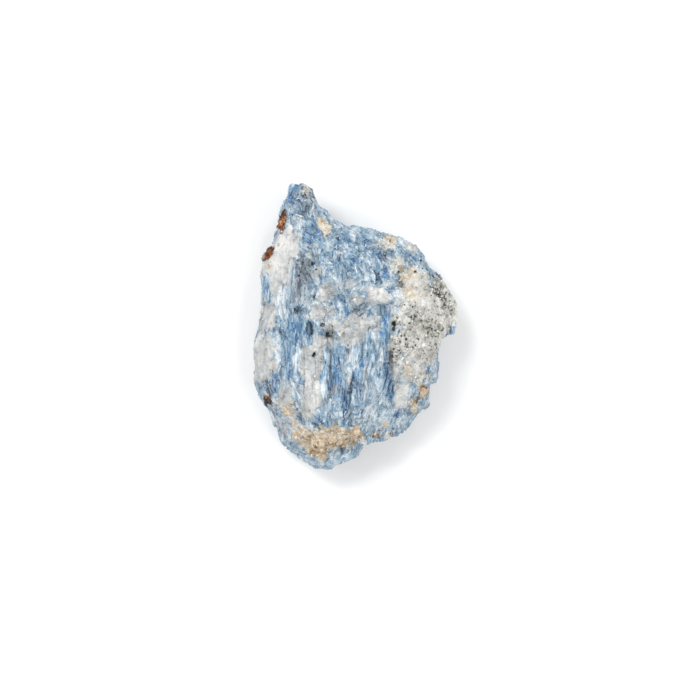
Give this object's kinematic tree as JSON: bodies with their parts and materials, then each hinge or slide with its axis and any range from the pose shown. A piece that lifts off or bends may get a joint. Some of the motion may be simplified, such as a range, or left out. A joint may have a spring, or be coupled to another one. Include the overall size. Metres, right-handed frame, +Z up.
{
  "type": "rough kyanite specimen",
  "caption": "Rough broken piece of bladed blue kyanite grown through grey quartz and schist, with a tapering horn at one end and a flat underside to rest on.",
  "frame": {"origin": "middle of the plan outline, on the flat underside that the stone rests on", "axes": "+Z is up out of the broad bladed face, +Y runs along the blades to the tip of the horn, +X is to the right as seen from above"},
  "size_m": [0.0431, 0.06, 0.0225],
  "materials": {
    "kyanite_stone": "rough broken stone with pearly blue blades"
  },
  "bodies": {
    "root": {"kyanite": "kyanite_stone"}
  },
  "joints": []
}
